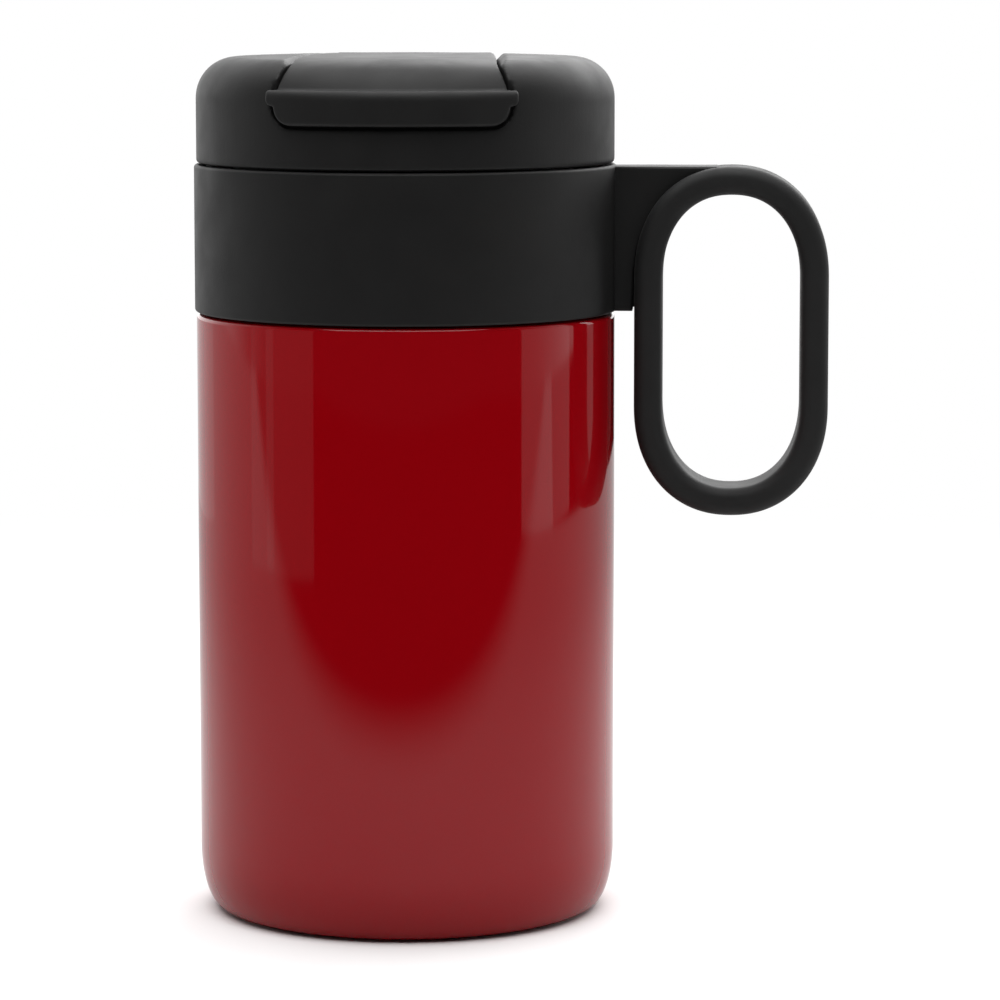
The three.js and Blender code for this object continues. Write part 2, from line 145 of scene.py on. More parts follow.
def rounded(points, closed=True):
    """A polyline with its points (x, z, radius) filleted by their radius. A plain (x, z) stays sharp."""
    made = []
    count = len(points)
    for i, point in enumerate(points):
        corner = Vector(point[:2])
        radius = point[2] if len(point) > 2 else 0.0
        if radius <= 0 or (not closed and i in (0, count - 1)):
            made.append(tuple(corner))
            continue
        back = Vector(points[i - 1][:2]) - corner
        ahead = Vector(points[(i + 1) % count][:2]) - corner
        half = back.angle(ahead) / 2
        reach = min(radius / math.tan(half), 0.49 * back.length, 0.49 * ahead.length)
        radius = reach * math.tan(half)
        back.normalize()
        ahead.normalize()
        centre = corner + (back + ahead).normalized() * radius / math.sin(half)
        start = corner + back * reach - centre
        sweep = start.angle_signed(corner + ahead * reach - centre)
        steps = max(3, round(abs(sweep) / math.radians(11)))
        for k in range(steps + 1):
            turned_by = Matrix.Rotation(-sweep * k / steps, 2)
            made.append(tuple(centre + turned_by @ start))
    return made


# Meshes


def mesh_of(verts, faces):
    mesh = bpy.data.meshes.new("shape")
    mesh.from_pydata(verts, [], faces)
    mesh.validate()
    return mesh


def face_out(mesh):
    """Turns all faces of a closed mesh outwards."""
    bm = bmesh.new()
    bm.from_mesh(mesh)
    bmesh.ops.remove_doubles(bm, verts=bm.verts, dist=1e-5)
    bmesh.ops.recalc_face_normals(bm, faces=bm.faces)
    bm.to_mesh(mesh)
    bm.free()
    return mesh


def turned(profile, closed=False, facets=ROUND, s=0.0):
    """Mesh of a profile turned about Z. An open profile starts and ends on the axis."""
    rings = []
    verts = []
    for r, z in profile:
        if r < 1e-6:
            rings.append([len(verts)] * facets)
            verts.append((0.0, -s, z))
            continue
        rings.append(range(len(verts), len(verts) + facets))
        verts += [(r * math.cos(math.tau * i / facets), r * math.sin(math.tau * i / facets) - s, z)
                  for i in range(facets)]
    pairs = list(zip(rings, rings[1:]))
    if closed:
        pairs.append((rings[-1], rings[0]))
    faces = []
    for low, high in pairs:
        for i in range(facets):
            j = (i + 1) % facets
            corners = [low[i], low[j], high[j], high[i]]
            face = [c for k, c in enumerate(corners) if c != corners[k - 1]]
            if len(face) > 2:
                faces.append(face)
    return face_out(mesh_of(verts, faces))


def post(r, low, high, facets=SMALL_ROUND, s=0.0):
    """Upright cylinder."""
    return turned([(0, low), (r, low), (r, high), (0, high)], facets=facets, s=s)


def swept(sections, ring=False):
    """Mesh through a row of sections. A ring joins the last one to the first, a bar has two end faces."""
    rows, count = len(sections), len(sections[0])
    verts = [point for section in sections for point in section]
    faces = []
    for i in range(rows if ring else rows - 1):
        here, ahead = i * count, (i + 1) % rows * count
        faces += [[here + j, here + (j + 1) % count, ahead + (j + 1) % count, ahead + j]
                  for j in range(count)]
    if not ring:
        faces += [list(range(count)), list(range((rows - 1) * count, rows * count))]
    return face_out(mesh_of(verts, faces))


def prism(outline, low, high, place):
    """Mesh of a closed outline extruded from low to high. place turns (u, v, w) into a point."""
    return swept([[place(u, v, w) for u, v in outline] for w in (low, high)])


def upright(planform, low, high):
    return prism(planform, low, high, lambda x, s, z: (x, -s, z))


def frontal(outline, start, stop):
    return prism(outline, start, stop, lambda x, z, s: (x, -s, z))


def across(outline, half):
    return prism(outline, -half, half, lambda s, z, x: (x, -s, z))


def hinge_bar(r, half):
    """Cylinder along the hinge line."""
    return across(arc(HINGE["s"], HINGE["z"], r, r, 0, 350, 35), half)


def holder(mesh):
    made = bpy.data.objects.new("holder", mesh)
    bpy.context.scene.collection.objects.link(made)
    return made


def evaluated(holding):
    """Mesh of an object with its modifiers applied. The object goes."""
    graph = bpy.context.evaluated_depsgraph_get()
    made = bpy.data.meshes.new_from_object(holding.evaluated_get(graph))
    bpy.data.objects.remove(holding)
    return made


def boolean(base, operation, *others):
    """Mesh of base after the boolean with each of the others."""
    holding = holder(base)
    tools = [holder(other) for other in others]
    for tool in tools:
        step = holding.modifiers.new("step", "BOOLEAN")
        step.operation = operation
        step.solver = "EXACT"
        step.object = tool
    made = evaluated(holding)
    for tool in tools:
        bpy.data.objects.remove(tool)
    return made


def joined(*meshes):
    """One mesh with all the given shells."""
    verts, faces = [], []
    for mesh in meshes:
        start = len(verts)
        verts += [tuple(v.co) for v in mesh.vertices]
        faces += [[start + i for i in f.vertices] for f in mesh.polygons]
    return mesh_of(verts, faces)


def melted(mesh, voxel, smooth):
    """The shells run together into one even mesh whose edges are softly rounded."""
    holding = holder(mesh)
    remesh = holding.modifiers.new("remesh", "REMESH")
    remesh.mode = "VOXEL"
    remesh.voxel_size = voxel
    soften = holding.modifiers.new("soften", "SMOOTH")
    soften.factor = 0.5
    soften.iterations = smooth
    return evaluated(holding)


def piece(name, mesh, material, body, slot, *nodes, sharp=38.0):
    """A finished piece from a mesh in millimetres, which rides on a body and stands for CAD nodes."""
    mesh.transform(Matrix.Scale(MM, 4))
    mesh.name = name
    mesh.shade_smooth()
    if sharp:
        mesh.set_sharp_from_angle(angle=math.radians(sharp))
    mesh.materials.clear()
    mesh.materials.append(material)
    made = bpy.data.objects.new(name, mesh)
    bpy.context.scene.collection.objects.link(made)
    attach(made, body)
    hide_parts(*nodes)


# Materials


class Nodes:
    """A small helper that builds one material's node tree."""

    def __init__(self, name, color, roughness, metallic=0.0, **sockets):
        self.material = bpy.data.materials.new(name)
        self.material.use_nodes = True
        self.tree = self.material.node_tree
        self.shader = self.tree.nodes["Principled BSDF"]
        self.set(**{"Base Color": (*color, 1.0), "Roughness": roughness, "Metallic": metallic})
        self.set(**{key.replace("_", " "): value for key, value in sockets.items()})
        self.place = self.add("ShaderNodeTexCoord").outputs["Object"]

    def set(self, **sockets):
        for key, value in sockets.items():
            self.shader.inputs[key].default_value = value

    def add(self, kind, **settings):
        node = self.tree.nodes.new(kind)
        for key, value in settings.items():
            setattr(node, key, value)
        return node

    def link(self, output, target):
        self.tree.links.new(output, target)

    def noise(self, scale, detail=3.0, stretch=(1.0, 1.0, 1.0), rough=0.5):
        """Noise whose scale is in cycles per metre."""
        mapping = self.add("ShaderNodeMapping")
        mapping.inputs["Scale"].default_value = stretch
        self.link(self.place, mapping.inputs["Vector"])
        node = self.add("ShaderNodeTexNoise")
        node.inputs["Scale"].default_value = scale
        node.inputs["Detail"].default_value = detail
        node.inputs["Roughness"].default_value = rough
        self.link(mapping.outputs["Vector"], node.inputs["Vector"])
        return node.outputs["Fac"]

    def cells(self, scale, feature="F1"):
        node = self.add("ShaderNodeTexVoronoi", feature=feature)
        node.inputs["Scale"].default_value = scale
        self.link(self.place, node.inputs["Vector"])
        return node.outputs["Distance"]

    def spread(self, value, low, high, target):
        """Sends a 0 to 1 value to a shader socket, spread from low to high."""
        node = self.add("ShaderNodeMapRange")
        node.inputs["From Min"].default_value = 0.3
        node.inputs["From Max"].default_value = 0.7
        node.inputs["To Min"].default_value = low
        node.inputs["To Max"].default_value = high
        self.link(value, node.inputs["Value"])
        self.link(node.outputs["Result"], self.shader.inputs[target])

    def tint(self, value, first, second):
        """Colours the surface from first to second by a 0 to 1 value."""
        ramp = self.add("ShaderNodeValToRGB")
        ramp.color_ramp.elements[0].position = 0.32
        ramp.color_ramp.elements[1].position = 0.68
        ramp.color_ramp.elements[0].color = (*first, 1.0)
        ramp.color_ramp.elements[1].color = (*second, 1.0)
        self.link(value, ramp.inputs["Fac"])
        self.link(ramp.outputs["Color"], self.shader.inputs["Base Color"])

    def bump(self, *layers):
        """Stacks bump layers of (value, height in metres)."""
        normal = None
        for value, height in layers:
            node = self.add("ShaderNodeBump")
            node.inputs["Strength"].default_value = 1.0
            node.inputs["Distance"].default_value = height
            self.link(value, node.inputs["Height"])
            if normal:
                self.link(normal, node.inputs["Normal"])
            normal = node.outputs["Normal"]
        self.link(normal, self.shader.inputs["Normal"])
        return self.material


def moulded_plastic(name, shade, roughness):
    """Black plastic with a fine spark-eroded texture and faint flow marks."""
    n = Nodes(name, (shade, shade, shade), roughness, Specular_IOR_Level=0.22)
    flow = n.noise(45, 4)
    grain = n.noise(5200, 2)
    n.tint(flow, (shade * 0.9, shade * 0.9, shade * 0.92), (shade * 1.12, shade * 1.1, shade * 1.08))
    n.spread(n.noise(160, 3), roughness - 0.04, roughness + 0.05, "Roughness")
    return n.bump((grain, 1.2e-5), (n.cells(2600), 6e-6))


def soft_touch(name, shade):
    """Soft-touch coating: matt, very fine pores and a slight sheen at grazing angles."""
    n = Nodes(name, (shade, shade, shade), 0.62, Specular_IOR_Level=0.28,
              Sheen_Weight=0.04, Sheen_Roughness=0.4)
    n.tint(n.noise(70, 3), (shade * 0.92,) * 3, (shade * 1.15,) * 3)
    n.spread(n.noise(220, 3), 0.57, 0.68, "Roughness")
    return n.bump((n.noise(7000, 2), 8e-6), (n.cells(4200), 4e-6))


def red_lacquer():
    """Deep red gloss over a finely flaked base coat, with a trace of orange peel."""
    n = Nodes("red_lacquer", (0.295, 0.0006, 0.0035), 0.4, Coat_Weight=1.0, Coat_Roughness=0.05,
              Coat_IOR=1.4, Specular_IOR_Level=0.0)
    n.tint(n.noise(9000, 2), (0.28, 0.0003, 0.0030), (0.31, 0.0006, 0.0042))
    n.spread(n.noise(60, 3), 0.36, 0.44, "Roughness")
    return n.bump((n.noise(420, 2), 2.2e-6), (n.noise(2600, 1), 3e-7))


def brushed_steel(name, stretch, shade=0.6):
    """Stainless steel with fine brush lines, which run at right angles to the stretch."""
    n = Nodes(name, (shade, shade, shade * 0.985), 0.28, 1.0)
    lines = n.noise(90, 6, stretch, 0.7)
    n.tint(lines, (shade * 0.86, shade * 0.86, shade * 0.85), (shade * 1.1, shade * 1.1, shade * 1.09))
    n.spread(lines, 0.22, 0.36, "Roughness")
    return n.bump((lines, 6e-6))


def silicone(name, color, roughness, clear):
    """Moulded silicone, with a faint dusty unevenness."""
    n = Nodes(name, color, roughness, Subsurface_Weight=clear, Subsurface_Scale=0.002)
    n.tint(n.noise(120, 3), tuple(c * 0.93 for c in color), tuple(min(c * 1.07, 1.0) for c in color))
    n.spread(n.noise(300, 3), roughness - 0.06, roughness + 0.08, "Roughness")
    return n.bump((n.noise(2400, 2), 8e-6))


def cell_foam():
    n = Nodes("insulating_foam", (0.78, 0.75, 0.66), 0.95)
    n.tint(n.noise(500, 3), (0.70, 0.67, 0.58), (0.82, 0.79, 0.70))
    return n.bump((n.cells(1400), 2e-4))


def crinkled_foil():
    n = Nodes("reflector_foil", (0.85, 0.85, 0.86), 0.2, 1.0)
    n.spread(n.noise(200, 4), 0.12, 0.3, "Roughness")
    return n.bump((n.cells(260, "F2"), 4e-4), (n.noise(900, 3), 4e-5))


def sintered(name, color, metallic):
    n = Nodes(name, color, 0.7, metallic)
    n.tint(n.noise(1500, 4), tuple(c * 0.8 for c in color), tuple(c * 1.2 for c in color))
    return n.bump((n.noise(3000, 4), 4e-5))


LACQUER = red_lacquer()
LID_PLASTIC = moulded_plastic("lid_plastic", 0.011, 0.5)
COLLAR_PLASTIC = moulded_plastic("collar_plastic", 0.0105, 0.52)
FLIP_PLASTIC = moulded_plastic("flip_plastic", 0.0115, 0.5)
PLUG_PLASTIC = moulded_plastic("plug_plastic", 0.012, 0.42)
GRIP = soft_touch("grip_coating", 0.012)
CUP_STEEL = brushed_steel("cup_steel", (1.0, 1.0, 40.0))
SHEET_STEEL = brushed_steel("sheet_steel", (30.0, 1.0, 1.0), 0.5)
PIN_STEEL = brushed_steel("pin_steel", (40.0, 1.0, 1.0), 0.22)
CLEAR_SILICONE = silicone("clear_silicone", (0.62, 0.63, 0.61), 0.42, 0.5)
STOPPER_SILICONE = silicone("stopper_silicone", (0.03, 0.03, 0.032), 0.5, 0.0)
PAD_SILICONE = silicone("pad_silicone", (0.014, 0.014, 0.015), 0.7, 0.0)


# Vessel


def base_corner(inset):
    return arc(BODY_R - CORNER_IN, SHELL_Z + CORNER_UP, CORNER_IN - inset, CORNER_UP - inset,
               270, 360, 14)


def make_outer_shell():
    shoulder = [(BODY_R, SHOULDER_Z, 0.8), (NECK_R, SHOULDER_Z, 0.4), (NECK_R, NECK_TOP_Z)]
    inside = [(NECK_R - STEEL, NECK_TOP_Z), (NECK_R - STEEL, SHOULDER_Z - STEEL, 0.3),
              (BODY_R - STEEL, SHOULDER_Z - STEEL, 0.5)]
    profile = ([(BASE_HOLE_R, SHELL_Z)] + base_corner(0) + shoulder + inside
               + base_corner(STEEL)[::-1] + [(BASE_HOLE_R, SHELL_Z + STEEL)])
    piece("body_shell", turned(rounded(profile), closed=True), LACQUER, "vessel", "red_paint",
          "outer_shell")


def make_inner_cup():
    outer, floor, bend = 32.4, CUP_LOW[2], 5.5
    inner = outer - STEEL
    top = CUP_HIGH[2]
    profile = [(0, floor), (outer, floor, bend), (outer, top - 0.6, 0.3), (NECK_R, top - 0.6, 0.2),
               (NECK_R, top, 0.25), (inner, top, 0.45), (inner, floor + STEEL, bend - STEEL),
               (0, floor + STEEL)]
    piece("steel_cup", turned(rounded(profile, closed=False)), CUP_STEEL, "vessel", "brushed_steel",
          "inner_cup")


def make_foot_pad():
    r, top = PAD_HIGH[0], PAD_HIGH[2]
    profile = [(0, 0), (r, 0, 0.5), (r, top), (0, top)]
    piece("foot_pad_disc", turned(rounded(profile, closed=False)), PAD_SILICONE, "vessel",
          "black_rubber", "foot_pad")


def make_base_plate():
    rim = BASE_HOLE_R - 0.3
    profile = [(2, 2.4), (rim - 4.2, 2.4, 0.8), (rim - 2.6, 1.75, 0.8), (rim, 1.75, 0.1),
               (rim, 2.35, 0.1), (rim - 2.4, 2.35, 0.8), (rim - 4, 3, 0.8), (2, 3)]
    piece("welded_base", turned(rounded(profile), closed=True), SHEET_STEEL, "vessel",
          "plain_steel", "base_plate")


def thread_shell(spec, wall, outward, start):
    """One helical ridge with tapered ends, as a closed shell sunk a little into its wall."""
    side = 1 if outward else -1
    steps = 72
    section = [(-THREAD["sink"], -THREAD["root"]), (0.0, -0.69), (0.75, -0.5), (0.95, -0.36),
               (1.0, -0.2), (1.0, 0.2), (0.95, 0.36), (0.75, 0.5), (0.0, 0.69),
               (-THREAD["sink"], THREAD["root"])]
    sections = []
    for i in range(steps + 1):
        share = i / steps
        fade = min(1.0, 7 * share, 7 * (1 - share)) ** 0.5 if 0 < i < steps else 0.02
        degrees = spec["from"] + share * spec["sweep"]
        angle = math.radians(degrees + 180 * start)
        rise = spec["z"] + THREAD["lead"] * degrees / 360
        radii = [wall + side * (out * fade if out > 0 else out) for out, up in section]
        sections.append([(r * math.cos(angle), r * math.sin(angle), up + rise)
                         for r, (out, up) in zip(radii, section)])
    return swept(sections)


def make_neck_ring():
    low, high = SCREW_LOW[2], SCREW_HIGH[2]
    profile = [(SCREW["skirt"], low, 0.1), (SCREW["r"], low, 0.2), (SCREW["r"], high, 0.5),
               (SCREW["bore"], high, 0.7), (SCREW["bore"], SCREW["ledge"], 0.2),
               (SCREW["skirt"], SCREW["ledge"], 0.2)]
    shells = [thread_shell(NECK_THREAD, SCREW["bore"], False, k) for k in range(2)]
    piece("threaded_neck", joined(turned(rounded(profile), closed=True), *shells), PLUG_PLASTIC,
          "vessel", "neck_plastic", "neck_ring")


def make_neck_gasket():
    low, high = [corner[2] for corner in cad("neck_gasket")]
    inner = 32.2
    profile = [(inner, low, 0.4), (NECK_R, low, 0.4), (NECK_R, high, 0.4), (inner, high, 0.4)]
    piece("neck_seal", turned(rounded(profile), closed=True), CLEAR_SILICONE, "vessel",
          "clear_silicone", "neck_gasket")


# Handle


def loop_point(form, turn):
    """Point of one of the loop's outlines for a turn from 0 to 1."""
    angle = math.tau * turn
    c, s = math.cos(angle), math.sin(angle)
    x = form["a"] * math.copysign(abs(c) ** (2 / form["n"]), c)
    z = form["b"] * math.copysign(abs(s) ** (2 / form["n"]), s)
    return Vector((LOOP["x"] + x, LOOP["z"] + math.copysign(form["straight"], s) + z))


def loop_turns(steps):
    """Turns round the loop. Each half starts and ends just inside it, which leaves the straights open."""
    tiny = 1e-9
    turns = []
    for start in (0.0, 0.5):
        turns += [start + 0.5 * i / steps + tiny for i in range(steps)] + [start + 0.5 - tiny]
    return turns


def make_handle_loop():
    """Band with a rounded section, lofted round between the loop's inner and outer outlines."""
    edge = LOOP["edge"]
    half = LOOP["depth"] / 2
    sections = []
    for turn in loop_turns(110):
        outer = loop_point(LOOP_OUT, turn)
        inner = loop_point(LOOP_IN, turn)
        width = (outer - inner).length
        along = (outer - inner) / width
        section = rounded([(0, -half, edge), (width, -half, edge), (width, half, edge),
                           (0, half, edge)])
        points = [(inner + along * out, y) for out, y in section]
        sections.append([(point.x, y, point.y) for point, y in points])
    piece("grip_loop", swept(sections, ring=True), GRIP, "vessel", "soft_grip", "handle_loop")


def web_outline(form):
    """Web between collar and loop in (x, z). A groove parts it from the loop below and closes upwards."""
    low, high = form["low"], form["high"]
    bend = LOOP["z"] + LOOP_OUT["straight"]
    last = high - 1.6  # the web ends bluntly inside the loop above this height

    def edge(z):
        off = form["groove"] - (form["groove"] + form["sink"]) * (z - low) / (last - low)
        rise = max(z - bend, 0) / (LOOP_OUT["b"] + off)
        return LOOP["x"] - (LOOP_OUT["a"] + off) * (1 - rise ** LOOP_OUT["n"]) ** (1 / LOOP_OUT["n"])

    heights = [low + (last - low) * math.sin(math.pi / 2 * i / 24) for i in range(25)]
    blunt = [(edge(last) + 1.5, last + 0.5), (edge(last) + 2.5, high)]
    return [(form["from"], high), (form["from"], low)] + [(edge(z), z) for z in heights] + blunt


def web_plate(form):
    """Plate of a web's outline with rounded edges, centred on the plane y = 0."""
    curve = bpy.data.curves.new("outline", "CURVE")
    curve.dimensions = "2D"
    curve.fill_mode = "BOTH"
    outline = web_outline(form)
    spline = curve.splines.new("POLY")
    spline.points.add(len(outline) - 1)
    for point, (x, z) in zip(spline.points, outline):
        point.co = (x, z, 0, 1)
    spline.use_cyclic_u = True
    curve.extrude = form["thick"] / 2 - form["edge"]
    curve.bevel_depth = form["edge"]
    curve.bevel_resolution = 4
    curve.offset = -form["edge"]
    made = evaluated(holder(curve))
    made.transform(Matrix.Rotation(math.pi / 2, 4, "X"))
    return face_out(made)


def make_collar():
    low, high = COLLAR_Z
    edge = 0.55
    profile = [(COLLAR_BORE_R, low, 0.2), (COLLAR_R, low, edge), (COLLAR_R, high, edge),
               (COLLAR_BORE_R, high, 0.3)]
    shells = turned(rounded(profile), closed=True), web_plate(WEB), web_plate(TONGUE)
    piece("handle_band", joined(*shells), COLLAR_PLASTIC, "vessel", "collar_plastic", "handle_collar")


# Lid


def band_half(s):
    """Half the flip cap's width, which flares towards the thumb tab."""
    flare = BAND["flare"] * max(0.0, s - BAND["flare_s"]) ** 2
    return min(BAND["half"] + BAND["taper"] * s + flare, BAND["most"])


def channel_half(s):
    return max(band_half(s) + CHANNEL["gap"], CHANNEL["rear_half"])


def band(half, from_s, to_s):
    """Planform of a band down the lid's middle, whose half-width is a function of s."""
    steps = 40
    run = [from_s + (to_s - from_s) * i / steps for i in range(steps + 1)]
    return [(half(s), s) for s in run] + [(-half(s), s) for s in reversed(run)]


def tab_outline(grow):
    """Front outline of the thumb tab, or of its pocket when grown."""
    half, low = TAB["half"] + grow, TAB_LOW_Z - grow
    size = TAB["corner"] + grow
    left = arc(-half + size, low + size, size, size, 180, 270, 12)
    return [(half, 152), (-half, 152)] + left + [(-x, z) for x, z in left[::-1]]


def lid_edge():
    """Fillet between the lid's side and its crown."""
    centre_r = LID_R - LID_FILLET
    return arc(centre_r, crown(centre_r) - LID_FILLET, LID_FILLET, LID_FILLET, 0, 87.8, 20)


def lid_pocket():
    """Cutting shape of the recess that the thumb tab sits in."""
    return boolean(frontal(tab_outline(POCKET["gap"]), *FRONT), "DIFFERENCE",
                   post(POCKET["r"], BELOW, ABOVE + 5, CUT_ROUND))


def make_lid_cap():
    """Domed cap with the flip cap's channel and pocket, the spout's boss and the hinge pin's hole."""
    floor = CHANNEL["z"] - CHANNEL["floor"]
    skirt = [(LID_R - 2, LID_Z), (LID_R, LID_Z, 0.45), (LID_R, 139)]
    profile = ([(0, floor), (LID_R - 2, floor), (LID_R - 2, LID_Z)]
               + rounded(skirt, closed=False)[1:-1] + lid_edge()
               + [(r, crown(r)) for r in (24, 19, 14, 9, 4, 0)])
    plan = band(channel_half, -40, 40)
    bevel_z = CHANNEL["bevel_z"]
    bevel = prism(plan, bevel_z, ABOVE, lambda x, s, z: (x + math.copysign(z - bevel_z, x), -s, z))
    holes = [post(spec["hole"], BELOW, ABOVE + 5, s=spec["s"]) for spec in (SPOUT, VENT)]
    cut = boolean(turned(profile, facets=CUT_ROUND), "DIFFERENCE", upright(plan, CHANNEL["z"], ABOVE),
                  bevel, lid_pocket())
    cut = boolean(cut, "UNION", post(SPOUT["boss"], floor + 0.5, SPOUT["boss_z"], s=SPOUT["s"]))
    cut = boolean(cut, "DIFFERENCE", *holes, hinge_bar(HINGE["bore"], HINGE["bore_half"]))
    piece("lid_top", melted(cut, 0.27, 7), LID_PLASTIC, "lid", "lid_plastic", "lid_cap", sharp=0)


def make_lid_plug():
    low = PLUG_LOW[2]
    inner = PLUG["r"] - PLUG["wall"]
    profile = [(0, low), (PLUG["r"], low, 1.2), (PLUG["r"], PLUG["flange_z"], 0.3),
               (PLUG["flange"], PLUG["flange_z"], 0.2), (PLUG["flange"], PLUG["top"], 0.2),
               (inner, PLUG["top"], 0.2), (inner, low + PLUG["wall"], 1.0), (0, low + PLUG["wall"])]
    cup = turned(rounded(profile, closed=False))
    past = TUBE_TOP_Z + 2
    for spec in (SPOUT, VENT):
        r = spec["bore"]
        flared = rounded([(0, low - 3), (r + 2.2, low - 2), (r, low + 0.6, 0.8), (r, past), (0, past)],
                         closed=False)
        cup = boolean(cup, "UNION", post(spec["tube"], low + 1, TUBE_TOP_Z, s=spec["s"]))
        cup = boolean(cup, "DIFFERENCE", turned(flared, facets=SMALL_ROUND, s=spec["s"]))
    shells = [thread_shell(LID_THREAD, PLUG["r"], True, k) for k in range(2)]
    piece("screw_plug", joined(cup, *shells), PLUG_PLASTIC, "lid", "plug_plastic", "lid_plug")


def make_lid_gasket():
    low, high = SEAL_LOW[2], SEAL_HIGH[2]
    inner, outer = PLUG["r"] + 0.5, SEAL_HIGH[0]
    middle = (low + high) / 2
    profile = [(inner, low, 0.3), (outer - 0.9, low, 0.3), (outer, middle - 0.3, 0.3),
               (outer, middle + 0.3, 0.3), (outer - 0.9, high, 0.3), (inner, high, 0.3)]
    piece("seal_ring", turned(rounded(profile), closed=True), CLEAR_SILICONE, "lid_seal",
          "clear_silicone", "lid_gasket")


def make_hinge_pin():
    low, high = cad("hinge_pin")
    half, r = high[0], (high[2] - low[2]) / 2
    profile = [(0, -half), (r, -half, 0.25), (r, half, 0.25), (0, half)]
    pin = turned(rounded(profile, closed=False), facets=48)
    pin.transform(Matrix.Translation((0, -HINGE["s"], HINGE["z"])) @ Matrix.Rotation(math.pi / 2, 4, "Y"))
    piece("pivot_pin", pin, PIN_STEEL, "lid", "pin_steel", "hinge_pin")


# Flip cap


def flip_profile():
    """Half section of the flip cap's front, turned about the lid's axis: underside, tab and top."""
    under = [(0, crown(0) - BAND["thick"]), (24, crown(24) - BAND["thick"]), (27.6, 145.15), (31, 143.3),
             (33.2, 141.7), (TAB["inner"], 140.2), (TAB["inner"], TAB_LOW_Z)]
    face = [(TAB_R - 0.35, TAB_LOW_Z), (TAB_R, TAB_LOW_Z + 0.35)]
    lip = arc(TAB_R - 1.1, TAB["lip"], 1.1, 1.9, 0, 85, 8)
    swoop = bezier((35.45, 142.6), (33.6, 145.6), (31.5, 147.5), (23.5, crown(23.5)), 24)
    return under + face + lip + swoop + [(r, crown(r)) for r in (22, 17, 12, 7, 0)]


def flip_front():
    """Shells of the panel, the thumb tab and the brim with its rounded ears."""
    whole = flip_profile()

    def part_of(*limits):
        return boolean(turned(whole, facets=CUT_ROUND), "INTERSECT", *limits)

    def core(r):
        return post(r, BELOW - 1, ABOVE + 6, CUT_ROUND)

    plan = band(band_half, HINGE["s"] + 3.5, 36.5)
    ears = rounded([(x, z, BRIM["corner"]) for x, z in (
        (BRIM_HALF, BRIM["high"]), (-BRIM_HALF, BRIM["high"]), (-BRIM_HALF, BRIM["low"]),
        (BRIM_HALF, BRIM["low"]))])
    panel = part_of(upright(plan, BRIM["low"], ABOVE + 3), core(TAB["inner"] + 0.1))
    tab = boolean(part_of(frontal(tab_outline(0), *FRONT)), "DIFFERENCE", core(TAB["inner"]))
    brim = boolean(part_of(frontal(ears, *FRONT)), "DIFFERENCE", core(BRIM["inner"]))
    return panel, tab, brim


def flip_barrel():
    """Shell of the rear end with its hinge barrel."""
    start = HINGE["s"] + 4.5
    outline = [(start, crown(start)), (start - 1.5, crown(start - 1.5))] + arc(
        HINGE["s"], HINGE["z"], HINGE["barrel"], HINGE["barrel"], 97, 290, 28) + [
        (start - 1, 144.3), (start, crown(start) - BAND["thick"])]
    rear = boolean(across(outline, 20), "INTERSECT", upright(band(band_half, -40, 0), BELOW, ABOVE + 3))
    return boolean(rear, "DIFFERENCE", hinge_bar(HINGE["bore"], 22))


def make_flip_cap():
    """Panel, thumb tab, brim and hinge barrel, melted into one moulding with soft edges."""
    piece("flip_cover", melted(joined(*flip_front(), flip_barrel()), 0.2, 7), FLIP_PLASTIC, "flip",
          "flip_plastic", "flip_cap", sharp=0)


def make_stoppers():
    hole, boss = SPOUT["hole"], SPOUT["hole"] + 0.2
    plug = [(0, 138.2), (hole - 0.9, 138.2, 0.6), (hole - 0.4, 139.5, 0.6), (hole - 1.2, 141, 0.4),
            (hole - 1.2, 144, 0.4), (boss, 144.1, 0.2), (boss, 144.8, 0.2), (0, 144.8)]
    piece("spout_plug", turned(rounded(plug, closed=False), facets=96, s=SPOUT["s"]), STOPPER_SILICONE,
          "flip", "stopper_silicone", "spout_stopper")
    hole = VENT["hole"]
    peg = [(0, 138.6), (hole - 0.6, 138.6, 0.4), (hole - 0.4, 139.2, 0.3), (hole - 0.4, 144.8, 0.3),
           (hole + 0.6, 145, 0.2), (hole + 0.6, 145.5, 0.2), (0, 145.5)]
    piece("vent_plug", turned(rounded(peg, closed=False), facets=64, s=VENT["s"]), STOPPER_SILICONE,
          "flip", "stopper_silicone", "vent_stopper")


def finish_hidden_nodes():
    """Materials of the CAD nodes that stay, which are all inside the walls or the lid."""
    looks = {
        "reflector_foil": crinkled_foil(),
        "vacuum_seal": sintered("glass_seal", (0.2, 0.22, 0.25), 0.0),
        "getter": sintered("getter_disc", (0.25, 0.24, 0.23), 0.8),
        "lid_insulation": cell_foam(),
        "spout_gasket": CLEAR_SILICONE,
        "vent_gasket": CLEAR_SILICONE,
    }
    for name, material in looks.items():
        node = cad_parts[name]
        node.data.materials.clear()
        node.data.materials.append(material)


# Stage: metres from here on


def staged(name, verts, faces, material):
    mesh = mesh_of(verts, faces)
    mesh.materials.append(material)
    made = bpy.data.objects.new(name, mesh)
    bpy.context.scene.collection.objects.link(made)
    return made


